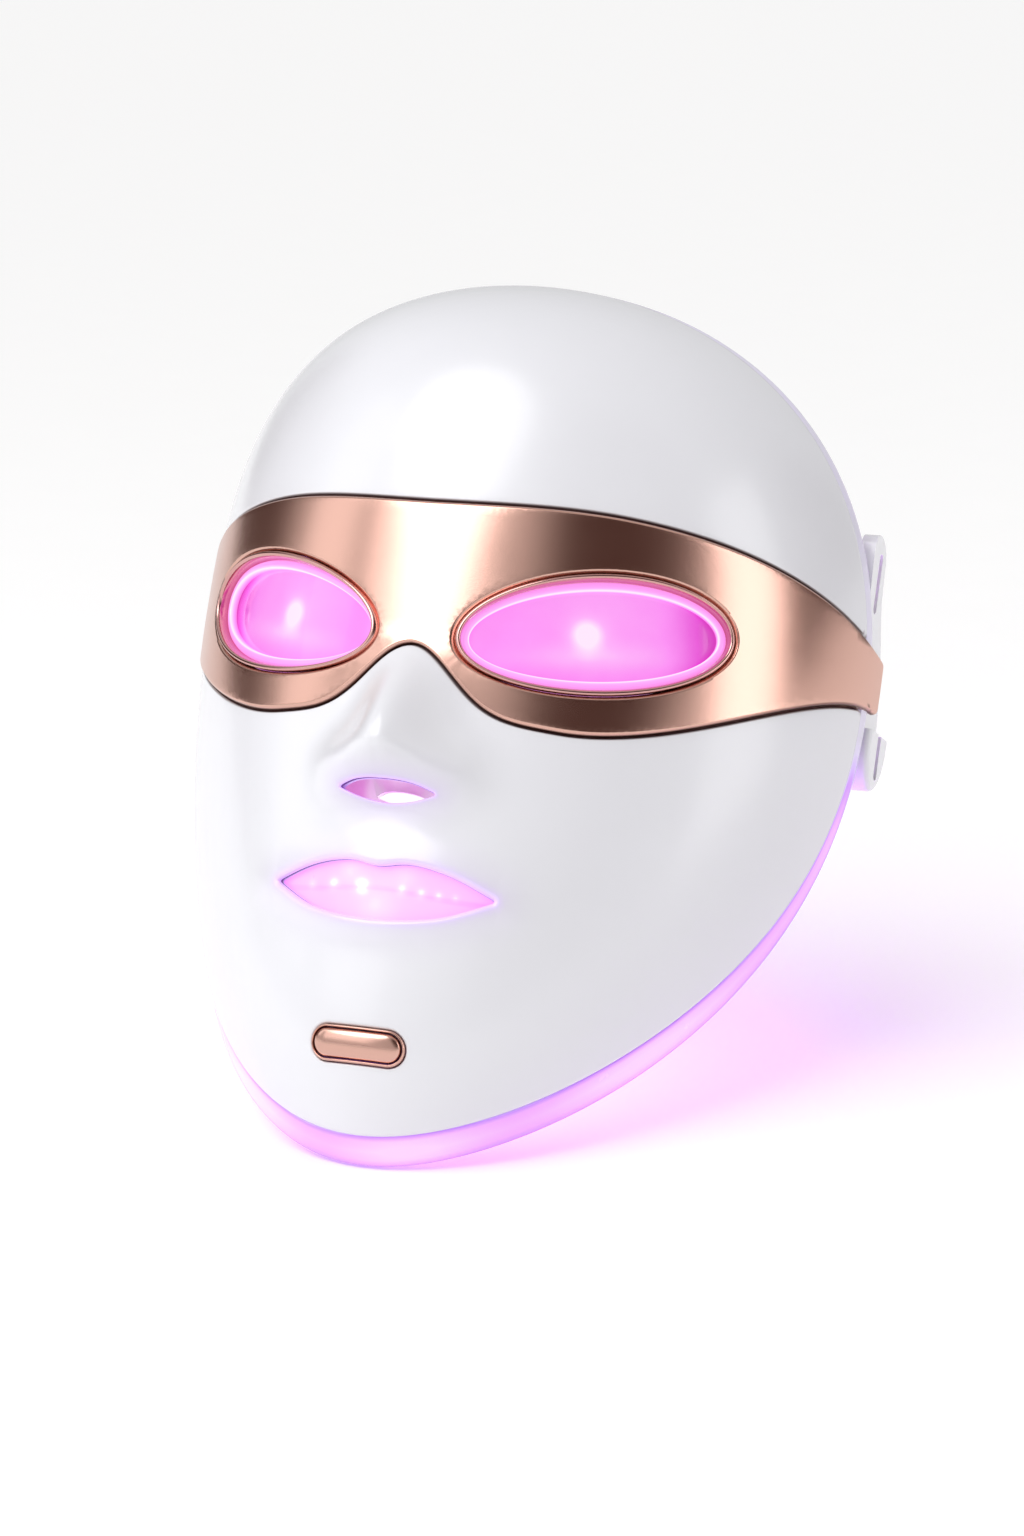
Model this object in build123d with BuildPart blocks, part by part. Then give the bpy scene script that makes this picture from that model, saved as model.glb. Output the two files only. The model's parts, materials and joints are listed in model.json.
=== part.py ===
"""LED face mask: a gloss white shell with a rose-gold visor band, a glowing rim and liner, and two strap arms.

Everything is drawn as worn: the face looks along -Y, +Z is up, and the wearer's left is +X. Heights are counted
from a datum a little under the chin. The last step leans the mask back onto its chin rim, the way it stands.
"""

import os
from math import cos, exp, hypot, radians, sin, sqrt

from build123d import *

# ---------------------------------------------------------------- driving dimensions, mm
HALF_WIDTH = 81.0  # at the temples
DEPTH = 93.0  # from the temple plane to the brow
TEMPLE_Z = 139.0  # height of the widest section
CROWN_RISE = 84.0  # temple section to the top of the form
CHIN_DROP = 144.0  # temple section to the bottom of the form
CHIN_Z, CHIN_HEIGHT, CHIN_SPREAD = 35.0, 2.4, 28.0  # the slight swell of the chin
SIDE_ANGLE = 87.0  # how far round the form's grid runs
BOTTOM_SHARE, TOP_SHARE = -0.925, 0.972  # how far down and up the form's grid runs

# Insets from the outer form, from the outside in
BAND_FRONT, BAND_BACK, RECESS_BACK = -0.8, 0.7, 0.8
SHELL_BACK = 2.2
CELL_FRONT, CELL_BACK = 2.7, 5.9
BOARD_FRONT, BOARD_BACK = 6.4, 6.9
RIM_FRONT, RIM_BACK = 0.3, 9.3
LINER_FRONT, LINER_BACK = 9.6, 11.0

# Rear edge: seen from the side it is a parabola whose rearmost point is at the ear.
EAR_Z, REAR_Y, REAR_BOW = 127.0, -14.0, 0.00496
RIM_WIDTH_EAR, RIM_WIDTH_EXTRA, RIM_WIDTH_REACH = 4.0, 8.0, 110.0
JOINT_GAP = 0.1

# Nose
NOSE_ROOT_Z, NOSE_TIP_Z, NOSE_BASE_Z = 128.0, 101.0, 87.5
NOSE_HEIGHT, NOSE_HALF_ROOT, NOSE_HALF_BASE, NOSE_SHARPNESS = 14.0, 8.0, 14.0, 1.45
WING_X, WING_Z, WING_RADIUS, WING_HEIGHT = 11.0, 96.5, 7.0, 4.0
NOSTRIL_HALF, NOSTRIL_Z, NOSTRIL_UP, NOSTRIL_DOWN = 11.5, 91.6, 1.9, 2.35
NOSTRIL_TOP_BEND, NOSTRIL_LOW_BEND = 6.5, 6.0  # how far out its edges begin to close
LINER_SLOT = 0.55  # the liner's own slot behind it, as a share of its size

# Mouth: the opening and the soft swell of the lips round it
MOUTH_HALF, MOUTH_Z, MOUTH_PEAK_X, MOUTH_PEAK, MOUTH_DIP, MOUTH_DOWN = 25.5, 71.3, 7.0, 5.2, 4.2, 6.9
LIP_HEIGHT, LIP_SPREAD = 1.8, 5.0

# Eye openings: an ellipse on a plane that faces forward and outward
EYE_X, EYE_Y, EYE_Z = 34.8, -77.0, 131.2
EYE_TURN, EYE_TILT = 31.3, 10.7
EYE_A, EYE_B = 30.8, 13.2
BEZEL_WALL, GUIDE_WIDTH = 1.2, 2.0

# Visor band edges, as heights that change with the angle round the face
BAND_END = 83.4
BAND_TOP, BAND_TOP_SWELL, BAND_TOP_DROP = 155.5, 1.7, 12.2
BAND_LOW, BAND_NOTCH, BAND_NOTCH_ANGLE, BAND_LOW_RISE = 108.7, 15.1, 9.4, 24.0

# Power button
BUTTON_Z, BUTTON_LENGTH, BUTTON_WIDTH = 37.8, 19.6, 6.0
BUTTON_GAP, BUTTON_RING = 0.25, 0.6
BUTTON_FRONT, BUTTON_BACK = -1.1, 2.6

# LED packages
LED_SIZE, LED_THICK, LED_PITCH = 3.5, 1.3, 12.5

# Battery cell, controller board and the switch behind the power button
CELL_ANGLE, CELL_LOW, CELL_HIGH = 15, 166, 194
CONTROL_WIDE, CONTROL_TALL, CONTROL_THICK, CONTROL_DEPTH = 20.0, 11.0, 0.8, 2.4
SWITCH_SIZE, SWITCH_THICK = 4.5, 1.2

# Strap arm and its pivot
ARM_Y, ARM_Z, ARM_IN, ARM_OUT, ARM_PAD, PAD_TOP = -6.5, 138.0, 74.0, 77.5, 80.6, 129.5
BRACKET_IN, BRACKET_OUT, BRACKET_HALF = 72.4, 73.6, 5.0
PIN_R, PIN_GAP, PIN_HEAD_R, PIN_HEAD = 2.0, 0.05, 3.4, 1.0
STRAP_SLOT, STRAP_GAP = 14.0, 2.6
UPPER_SLOT, LOWER_SLOT = (-12.2, 163.0), (-4.7, 124.6)  # (y, z) of the strap slots
RIM_CLEAR = 0.2
RIB_THICK, RIB_LONG, RIB_Y = 3.2, 6.0, -23.0  # the shell's rib that each bracket lies against

# Charging socket
PORT_Z, PORT_ANGLE, PORT_INSET = 82.0, -73.0, 6.2
PORT_W, PORT_H, PORT_L, PORT_WALL = 8.94, 3.2, 7.3, 0.3
PORT_GAP, TONGUE_WIDE, TONGUE_THICK, TONGUE_LONG = 0.2, 6.6, 0.7, 5.0
PORT_BOARD_WIDE, PORT_BOARD_THICK, PORT_BOARD_LONG = 12.0, 0.8, 10.0

# Screws that hold the liner to bosses in the shell: (angle, height) on one side
SCREW_SEATS = ((44, 182), (69, 96), (46, 50))
BOSS_R, SCREW_R, SCREW_HEAD_R, SCREW_HEAD = 2.6, 0.9, 1.9, 1.2
BOSS_ROOT, SCREW_SHORT = 0.8, 0.8  # a boss grows into the shell; its hole stops short of it
SEAT_DEEP = 0.7  # the screw head's seat, in from the liner's front face
CROSS_LONG, CROSS_WIDE, CROSS_DEEP = 2.2, 0.5, 0.6

# How it stands: leaned back on its chin rim
LEAN = 24.4
STAND_Y, STAND_Z = 2.95, -44.55


# ---------------------------------------------------------------- the form
def smooth(t):
    """0 to 1 with a flat start and a flat end."""
    t = min(1.0, max(0.0, t))
    return t * t * (3 - 2 * t)


def section(share, inset):
    """Half width, depth and height of the level section; share is -1 under the chin and 1 at the crown."""
    if share >= 0:
        half = (HALF_WIDTH - inset) * (1 - share**2.6) ** (1 / 2.7)
        depth = (DEPTH - inset) * (1 - share**3.7) ** (1 / 2.6)
        return half, depth, TEMPLE_Z + share * (CROWN_RISE - inset)
    half = (HALF_WIDTH - inset) * sqrt(1 - share * share)
    depth = (DEPTH - inset) * (1 - abs(share) ** 5.0) ** (1 / 3.7)
    z = TEMPLE_Z + share * (CHIN_DROP - inset)
    return half, depth + CHIN_HEIGHT * exp(-(((z - CHIN_Z) / CHIN_SPREAD) ** 2)), z


def share_of(z, inset=0.0):
    """The share at a height."""
    return (z - TEMPLE_Z) / ((CROWN_RISE if z >= TEMPLE_Z else CHIN_DROP) - inset)


def nose(x, z, inset):
    """How far the nose stands forward of the form at (x, z)."""
    if z >= NOSE_TIP_Z:
        rise = smooth((NOSE_ROOT_Z - z) / (NOSE_ROOT_Z - NOSE_TIP_Z))
    else:
        rise = smooth((z - NOSE_BASE_Z) / (NOSE_TIP_Z - NOSE_BASE_Z))
    down = min(1.0, max(0.0, (NOSE_ROOT_Z - z) / (NOSE_ROOT_Z - WING_Z)))
    half = NOSE_HALF_ROOT + (NOSE_HALF_BASE - NOSE_HALF_ROOT) * down - 0.55 * inset
    ridge = NOSE_HEIGHT * rise * exp(-((NOSE_SHARPNESS * x / half) ** 2))
    reach = hypot(abs(x) - WING_X + 0.4 * inset, z - WING_Z) / (WING_RADIUS - 0.3 * inset)
    return ridge + WING_HEIGHT * exp(-reach * reach)


def lips(x, z):
    """How far the lips stand forward of the form at (x, z)."""
    along = min(1.0, abs(x) / MOUTH_HALF)
    height = MOUTH_PEAK if z > MOUTH_Z else MOUTH_DOWN
    edge = height * (1 - along * along)
    out = max(0.0, abs(x) - MOUTH_HALF)
    away = hypot(max(0.0, abs(z - MOUTH_Z) - edge), out) / LIP_SPREAD
    return LIP_HEIGHT * (1 - 0.5 * along * along) * exp(-away * away)


def form(angle, share, inset, features=True):
    """A point of the form: angle is round from the face's middle in degrees, share is up, inset is inward."""
    half, depth, z = section(share, inset)
    x = half * sin(radians(angle))
    y = -depth * cos(radians(angle))
    if features:
        y -= nose(x, z, inset) + lips(x, z)
    return Vector(x, y, z)


def skin(grid):
    """A smooth face through rows of points."""
    count = len(grid[0]) - 1
    steps = [i / count for i in range(count + 1)]
    wires = [Wire([Edge.make_spline(row, parameters=steps)]) for row in grid]
    return Shell.make_loft(wires).faces()[0]


def slab(outer, inner):
    """A solid between two grids of points that have the same rows and columns."""
    front, back = skin(outer), skin(inner)
    sides = []
    for edge in front.edges():
        middle = edge @ 0.5
        twin = back.edges().sort_by(lambda other: (other @ 0.5 - middle).length)[0]
        sides.append(Face.make_surface_from_curves(edge, twin))
    return Solid(Shell([front, back, *sides]))


def stations(stops):
    """Values through (start, count) stops, with an even step inside each stretch."""
    values = []
    for (start, count), (end, _) in zip(stops, stops[1:]):
        values += [start + (end - start) * i / count for i in range(count)]
    return values + [stops[-1][0]]


def layer(outer, inner):
    """The whole form between two insets."""
    angles = stations([(-SIDE_ANGLE, 10), (-27, 30), (27, 10), (SIDE_ANGLE, 0)])
    shares = stations([(BOTTOM_SHARE, 7), (share_of(58), 28), (share_of(130), 8), (TOP_SHARE, 0)])
    return slab(*([[form(a, s, inset) for a in angles] for s in shares] for inset in (outer, inner)))


def panel(first, last, low, high, outer, inner, features=False, step=3.0):
    """A curved panel of the form between two angles; low and high give its edge heights at an angle."""
    count = max(4, round((last - first) / step))
    angles = [first + (last - first) * i / count for i in range(count + 1)]
    rows = 8 if features else 6
    grids = []
    for inset in (outer, inner):
        grid = []
        for row in range(rows + 1):
            heights = [low(a) + (high(a) - low(a)) * row / rows for a in angles]
            grid.append([form(a, share_of(z), inset, features) for a, z in zip(angles, heights)])
        grids.append(grid)
    return slab(*grids)


def level(z):
    """A panel edge at one height."""
    return lambda angle: z


def seat(angle, z, inset):
    """A plane on the form with its Z axis straight out, its X axis round the face and its Y axis up."""
    share = share_of(z, inset)
    across = form(angle + 0.5, share, inset, False) - form(angle - 0.5, share, inset, False)
    up = form(angle, share + 0.004, inset, False) - form(angle, share - 0.004, inset, False)
    return Plane(origin=form(angle, share, inset, False), x_dir=across, z_dir=across.cross(up))


def rear_edge(z, extra=0.0):
    """Y of the liner's rear edge at a height, moved forward by extra."""
    return REAR_Y - extra - REAR_BOW * (z - EAR_Z) ** 2


def shell_edge(z, gap=0.0):
    """Y of the shell's rear edge at a height."""
    grow = smooth((EAR_Z - 7 - z) / RIM_WIDTH_REACH)
    return rear_edge(z, RIM_WIDTH_EAR + RIM_WIDTH_EXTRA * grow) + gap


def behind(edge):
    """Everything behind a rear edge."""
    heights = [-20 + 9.0 * i for i in range(31)]
    with BuildPart() as block:
        with BuildSketch(Plane.YZ.offset(-110)):
            with BuildLine():
                curve = Spline([(edge(z), z) for z in heights])
                Polyline(curve @ 1, (80, heights[-1]), (80, heights[0]), curve @ 0)
            make_face()
        extrude(amount=220)
    return block.part


def flip(piece):
    """The same piece on the wearer's other side."""
    return mirror(piece, about=Plane.YZ)


# ---------------------------------------------------------------- openings
turn, tilt = radians(EYE_TURN), radians(EYE_TILT)
EYE_PLANE = Plane(
    origin=(EYE_X, EYE_Y, EYE_Z),
    x_dir=(cos(turn) * cos(tilt), sin(turn) * cos(tilt), sin(tilt)),
    z_dir=(sin(turn), -cos(turn), 0),
)


def eye_core(less=0.0):
    """The eye opening's core on the wearer's left, made smaller all round by less."""
    with BuildPart() as core:
        with BuildSketch(EYE_PLANE):
            Ellipse(EYE_A - less, EYE_B - less)
        extrude(amount=18, both=True)
    return core.part


def mouth_core(less=0.0):
    """The mouth opening's core, made smaller all round by less."""
    side = [
        (MOUTH_HALF * 0.62, MOUTH_Z + MOUTH_PEAK * 0.72 - less),
        (MOUTH_PEAK_X, MOUTH_Z + MOUTH_PEAK - less),
    ]
    top = side + [(0, MOUTH_Z + MOUTH_DIP - less)] + [(-x, z) for x, z in reversed(side)]
    low = [(-MOUTH_HALF * 0.55, MOUTH_Z - MOUTH_DOWN * 0.76 + less), (0, MOUTH_Z - MOUTH_DOWN + less)]
    low += [(MOUTH_HALF * 0.55, MOUTH_Z - MOUTH_DOWN * 0.76 + less)]
    corner = MOUTH_HALF - 1.6 * less
    with BuildPart() as core:
        with BuildSketch(Plane.XZ.offset(50)):
            with BuildLine():
                upper = Spline([(corner, MOUTH_Z), *top, (-corner, MOUTH_Z)])
                Spline([upper @ 1, *low, upper @ 0])
            make_face()
        extrude(amount=70)
    return core.part


def nostril_core(share=1.0):
    """The breathing slot's core under the nose, at a share of its full size."""
    half, rise, fall = share * NOSTRIL_HALF, share * NOSTRIL_UP, share * NOSTRIL_DOWN
    left, right = (-half, NOSTRIL_Z), (half, NOSTRIL_Z)
    top, bottom = (0, NOSTRIL_Z + rise), (0, NOSTRIL_Z - fall)
    high, low = NOSTRIL_Z + rise * 0.8, NOSTRIL_Z - fall * 0.72
    top_bend, low_bend = share * NOSTRIL_TOP_BEND, share * NOSTRIL_LOW_BEND
    with BuildPart() as core:
        with BuildSketch(Plane.XZ.offset(50)):
            with BuildLine():
                Spline([left, (-top_bend, high), top, (top_bend, high), right])
                Spline([right, (low_bend, low), bottom, (-low_bend, low), left])
            make_face()
        extrude(amount=90)
    return core.part


def button_core(grow):
    """The power button's core, made larger all round by grow."""
    with BuildPart() as core:
        with BuildSketch(Plane.XZ.offset(60)):
            with Locations((0, BUTTON_Z)):
                SlotOverall(BUTTON_LENGTH + 2 * grow, BUTTON_WIDTH + 2 * grow)
        extrude(amount=60)
    return core.part


def band_top(angle):
    """Height of the visor band's top edge."""
    a = abs(angle)
    drop = max(0.0, (a - 30) / (BAND_END - 30)) ** 2.2
    return BAND_TOP + BAND_TOP_SWELL * smooth(a / 30) - BAND_TOP_DROP * drop


def band_low(angle):
    """Height of the visor band's bottom edge, with the notch for the nose."""
    a = abs(angle)
    return BAND_LOW + BAND_NOTCH * exp(-((a / BAND_NOTCH_ANGLE) ** 2)) + BAND_LOW_RISE * smooth((a - 24) / 58)


def band_panel(front, back, grow):
    """The visor band's panel, with its edges moved outward by grow."""
    reach = BAND_END + grow
    low, high = (lambda a: band_low(a) - grow), (lambda a: band_top(a) + grow)
    return panel(-reach, reach, low, high, front, back, True, 2.4)


PORT_SEAT = seat(PORT_ANGLE, PORT_Z, PORT_INSET)
PORT = Plane(origin=PORT_SEAT.origin, x_dir=PORT_SEAT.y_dir, z_dir=-PORT_SEAT.x_dir)  # Z rearward, X up


def port_block(wide, tall, front, rear):
    """A stadium block along the charging socket's axis."""
    with BuildPart() as block:
        with BuildSketch(PORT.offset(rear)):
            SlotOverall(wide, tall)
        extrude(amount=front - rear)
    return block.part


INWARD = (Align.CENTER, Align.CENTER, Align.MAX)
OUTWARD = (Align.CENTER, Align.CENTER, Align.MIN)
EYE_CORE, MOUTH_CORE, NOSTRIL_CORE = eye_core(), mouth_core(), nostril_core()
BEHIND_SHELL, BEHIND_REAR = behind(shell_edge), behind(rear_edge)


# ---------------------------------------------------------------- shell, band, rim and liner
def screw_seats():
    """Screw planes on both sides, on the shell's inner face, each with the depth to the liner."""
    seats = []
    for angle, z in SCREW_SEATS:
        for side in (1, -1):
            plane = seat(side * angle, z, SHELL_BACK)
            deep = form(side * angle, share_of(z, SHELL_BACK), LINER_FRONT, False)
            seats.append((plane, (plane.origin - deep).dot(plane.z_dir)))
    return seats


def slot_through(x, y, z, wide, tall):
    """A cutter along X for a slot that is tall along Z."""
    with BuildPart() as cutter:
        with BuildSketch(Plane.YZ.offset(x)):
            with Locations((y, z)):
                SlotOverall(tall, wide, rotation=90)
        extrude(amount=12, both=True)
    return cutter.part


BOTH_EYES = [EYE_CORE, flip(EYE_CORE)]
WIDE_EYES = [eye_core(-2 * JOINT_GAP), flip(eye_core(-2 * JOINT_GAP))]

with BuildPart() as outer_shell:
    add(layer(0, SHELL_BACK))
    add(BEHIND_SHELL, mode=Mode.SUBTRACT)
    add(band_panel(-4, RECESS_BACK, JOINT_GAP), mode=Mode.SUBTRACT)
    add(WIDE_EYES, mode=Mode.SUBTRACT)
    add([MOUTH_CORE, NOSTRIL_CORE, button_core(BUTTON_GAP + BUTTON_RING + JOINT_GAP)], mode=Mode.SUBTRACT)
    for plane, depth in screw_seats():
        with Locations(plane.offset(BOSS_ROOT)):
            Cylinder(BOSS_R, depth + BOSS_ROOT - 2 * JOINT_GAP, align=INWARD)
    for plane, depth in screw_seats():
        with Locations(plane.offset(-SCREW_SHORT)):
            Cylinder(SCREW_R + PIN_GAP, 20, align=INWARD, mode=Mode.SUBTRACT)
    for side in (1, -1):
        with Locations((side * (BRACKET_OUT + JOINT_GAP + RIB_THICK / 2), RIB_Y, ARM_Z)):
            Box(RIB_THICK, RIB_LONG, 2 * BRACKET_HALF - 2)

with BuildPart() as visor_band:
    add(band_panel(BAND_FRONT, BAND_BACK, 0))
    add(BOTH_EYES, mode=Mode.SUBTRACT)

with BuildPart() as glow_rim:
    add(layer(RIM_FRONT, RIM_BACK))
    add(BEHIND_REAR, mode=Mode.SUBTRACT)
    add(behind(lambda z: shell_edge(z, JOINT_GAP)), mode=Mode.INTERSECT)
    add(band_panel(-4, RECESS_BACK, JOINT_GAP), mode=Mode.SUBTRACT)
    for side in (1, -1):
        with Locations((side * (BRACKET_IN + BRACKET_OUT) / 2, -16, ARM_Z)):
            thick, tall = BRACKET_OUT - BRACKET_IN + 2 * RIM_CLEAR, 2 * (BRACKET_HALF + RIM_CLEAR)
            Box(thick, 14, tall, mode=Mode.SUBTRACT)
    add(port_block(PORT_W + 2 * PORT_GAP, PORT_H + 2 * PORT_GAP, -PORT_L - 1, 8), mode=Mode.SUBTRACT)

with BuildPart() as liner:
    add(layer(LINER_FRONT, LINER_BACK))
    add(BEHIND_REAR, mode=Mode.SUBTRACT)
    add([*BOTH_EYES, nostril_core(LINER_SLOT)], mode=Mode.SUBTRACT)
    for plane, depth in screw_seats():
        with Locations(plane):
            Cylinder(SCREW_R + PIN_GAP, 30, align=INWARD, mode=Mode.SUBTRACT)
        with Locations(plane.offset(-depth - SEAT_DEEP + JOINT_GAP)):
            Cylinder(SCREW_HEAD_R + JOINT_GAP, 12, align=INWARD, mode=Mode.SUBTRACT)

with BuildPart() as liner_screws:
    for plane, depth in screw_seats():
        with Locations(plane.offset(-depth - SEAT_DEEP)):
            Cylinder(SCREW_HEAD_R, SCREW_HEAD, align=INWARD)
            Cylinder(SCREW_R, depth + SEAT_DEEP - SCREW_SHORT - 0.4, align=OUTWARD)
        with Locations(plane.offset(-depth - SEAT_DEEP - SCREW_HEAD)):
            Box(CROSS_LONG, CROSS_WIDE, CROSS_DEEP, align=OUTWARD, mode=Mode.SUBTRACT)
            Box(CROSS_WIDE, CROSS_LONG, CROSS_DEEP, align=OUTWARD, mode=Mode.SUBTRACT)


# ---------------------------------------------------------------- eyes and mouth
def eye_ring(front, back, less, wall):
    """A ring that lines the eye opening on the wearer's left; a wall of 0 fills it."""
    block = panel(2, 62, level(110), level(153), front, back)
    ring = block & eye_core(less)
    return ring - eye_core(less + wall) if wall else ring


with BuildPart() as eye_bezel_left:
    add(eye_ring(-1.1, 5.4, JOINT_GAP, BEZEL_WALL))

with BuildPart() as eye_bezel_right:
    add(flip(eye_bezel_left.part))

with BuildPart() as eye_guide_left:
    add(eye_ring(1.6, 3.4, BEZEL_WALL + 2 * JOINT_GAP, GUIDE_WIDTH))

with BuildPart() as eye_guide_right:
    add(flip(eye_guide_left.part))

with BuildPart() as eye_lens_left:
    add(eye_ring(3.5, 5.0, BEZEL_WALL + 2 * JOINT_GAP, 0))

with BuildPart() as eye_lens_right:
    add(flip(eye_lens_left.part))

with BuildPart() as mouth_window:
    add(panel(-25, 25, level(60), level(80), SHELL_BACK + 0.3, SHELL_BACK + 1.5, True, 1.5))
    add(mouth_core(-1.6), mode=Mode.INTERSECT)


# ---------------------------------------------------------------- LED boards
def cheek_low(angle):
    """The cheek board's bottom edge, which drops outside the mouth."""
    return 84 - 22 * smooth((angle - 27) / 14)


BOARDS = {
    "forehead": (-40, 40, level(161), level(204)),
    "cheek_left": (17, 56, cheek_low, level(107)),
    "cheek_right": (-56, -17, lambda a: cheek_low(-a), level(107)),
    "chin": (-38, 38, lambda a: 31 + 10 * (a / 38) ** 2, level(57)),
}


def board(name):
    """A flexible board that follows the form."""
    return panel(*BOARDS[name], BOARD_FRONT, BOARD_BACK)


def led_places(name):
    """Planes of the LED packages on the inner side of a board."""
    first, last, low, high = BOARDS[name]
    middle = (first + last) / 2
    columns = max(2, round(radians(last - first) * 80 / LED_PITCH))
    places = []
    for column in range(columns):
        angle = first + (last - first) * (column + 0.5) / columns
        span = high(angle) - low(angle)
        rows = max(2, round(span / LED_PITCH))
        for row in range(rows):
            places.append(seat(angle, low(angle) + span * (row + 0.5) / rows, BOARD_BACK + JOINT_GAP))
    return places


def leds(name):
    """All the LED packages of one board."""
    with BuildPart() as group:
        for plane in led_places(name):
            with Locations(plane):
                Box(LED_SIZE, LED_SIZE, LED_THICK, align=INWARD)
    return group.part


with BuildPart() as board_forehead:
    add(board("forehead"))

with BuildPart() as board_cheek_left:
    add(board("cheek_left"))

with BuildPart() as board_cheek_right:
    add(board("cheek_right"))

with BuildPart() as board_chin:
    add(board("chin"))

with BuildPart() as leds_forehead:
    add(leds("forehead"))

with BuildPart() as leds_cheek_left:
    add(leds("cheek_left"))

with BuildPart() as leds_cheek_right:
    add(leds("cheek_right"))

with BuildPart() as leds_chin:
    add(leds("chin"))

with BuildPart() as ribbon_left:
    add(panel(49, 54, level(104), level(166), BOARD_FRONT - 0.5, BOARD_FRONT - 0.2, False, 1))

with BuildPart() as ribbon_right:
    add(flip(ribbon_left.part))

# ---------------------------------------------------------------- battery, controller and button
with BuildPart() as battery:
    add(panel(-CELL_ANGLE, CELL_ANGLE, level(CELL_LOW), level(CELL_HIGH), CELL_FRONT, CELL_BACK))

CONTROL = seat(0, BUTTON_Z, SHELL_BACK)

with BuildPart() as main_board:
    with Locations(CONTROL.offset(-CONTROL_DEPTH)):
        Box(CONTROL_WIDE, CONTROL_TALL, CONTROL_THICK, align=INWARD)

with BuildPart() as tactile_switch:
    with Locations(CONTROL.offset(-CONTROL_DEPTH + JOINT_GAP)):
        Box(SWITCH_SIZE, SWITCH_SIZE, SWITCH_THICK, align=OUTWARD)

with BuildPart() as button_ring:
    add(panel(-15, 15, level(29), level(47), BAND_FRONT, SHELL_BACK - 0.6, True, 2))
    add(button_core(BUTTON_GAP + BUTTON_RING), mode=Mode.INTERSECT)
    add(button_core(BUTTON_GAP), mode=Mode.SUBTRACT)

with BuildPart() as power_button:
    add(panel(-15, 15, level(29), level(47), BUTTON_FRONT, BUTTON_BACK, True, 2))
    add(button_core(0), mode=Mode.INTERSECT)

# ---------------------------------------------------------------- charging socket
with BuildPart() as usb_socket:
    add(port_block(PORT_W, PORT_H, -PORT_L, 0))
    add(port_block(PORT_W - 2 * PORT_WALL, PORT_H - 2 * PORT_WALL, -PORT_L + 1, 1), mode=Mode.SUBTRACT)
    with Locations(PORT.offset(-PORT_L + 0.5)):
        Box(TONGUE_WIDE, TONGUE_THICK, TONGUE_LONG, align=OUTWARD)

with BuildPart() as usb_board:
    with Locations(PORT.offset(-PORT_L - 2)):
        Box(PORT_BOARD_WIDE, PORT_BOARD_THICK, PORT_BOARD_LONG, align=INWARD)

# ---------------------------------------------------------------- strap arms
ARM_OUTLINE = [
    (-18.6, 168), (-15.6, 173.6), (-9.4, 171.8), (-7.2, 162), (-2.4, 150), (2.2, 137), (3.0, 127),
    (-0.5, 119.2), (-7.0, 116.4), (-11.6, 121), (-12.4, 132), (-13.4, 146), (-17.4, 158),
]

with BuildPart() as strap_arm_left:
    with BuildSketch(Plane.YZ.offset(ARM_IN)):
        with BuildLine():
            Spline(ARM_OUTLINE, periodic=True)
        make_face()
    extrude(amount=ARM_PAD - ARM_IN)
    fillet(strap_arm_left.edges().group_by(Axis.X)[-1], 1.2)
    with Locations((ARM_OUT, ARM_Y, PAD_TOP)):
        Box(8, 40, 60, align=(Align.MIN, Align.CENTER, Align.MIN), mode=Mode.SUBTRACT)
    add(slot_through(ARM_IN + 3, *UPPER_SLOT, STRAP_GAP, STRAP_SLOT), mode=Mode.SUBTRACT)
    add(slot_through(ARM_IN + 3, *LOWER_SLOT, STRAP_GAP, STRAP_SLOT - 3), mode=Mode.SUBTRACT)
    with Locations(Plane.YZ.offset(ARM_IN) * Pos(ARM_Y, ARM_Z)):
        Cylinder(PIN_R + PIN_GAP, 30, mode=Mode.SUBTRACT)

with BuildPart() as strap_arm_right:
    add(flip(strap_arm_left.part))

with BuildPart() as arm_bracket_left:
    with Locations(((BRACKET_IN + BRACKET_OUT) / 2, -14.0, ARM_Z)):
        Box(BRACKET_OUT - BRACKET_IN, 24, 2 * BRACKET_HALF)
    with Locations(Plane.YZ.offset(BRACKET_IN) * Pos(ARM_Y, ARM_Z)):
        Cylinder(PIN_R + PIN_GAP, 10, mode=Mode.SUBTRACT)

with BuildPart() as arm_bracket_right:
    add(flip(arm_bracket_left.part))

with BuildPart() as arm_pin_left:
    with Locations(Plane.YZ.offset(BRACKET_IN - 0.1) * Pos(ARM_Y, ARM_Z)):
        Cylinder(PIN_HEAD_R, PIN_HEAD, align=INWARD)
        Cylinder(PIN_R, ARM_OUT - BRACKET_IN + 0.2, align=OUTWARD)
    with Locations(Plane.YZ.offset(ARM_OUT + 0.1) * Pos(ARM_Y, ARM_Z)):
        Cylinder(PIN_HEAD_R, PIN_HEAD, align=OUTWARD)

with BuildPart() as arm_pin_right:
    add(flip(arm_pin_left.part))

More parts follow.
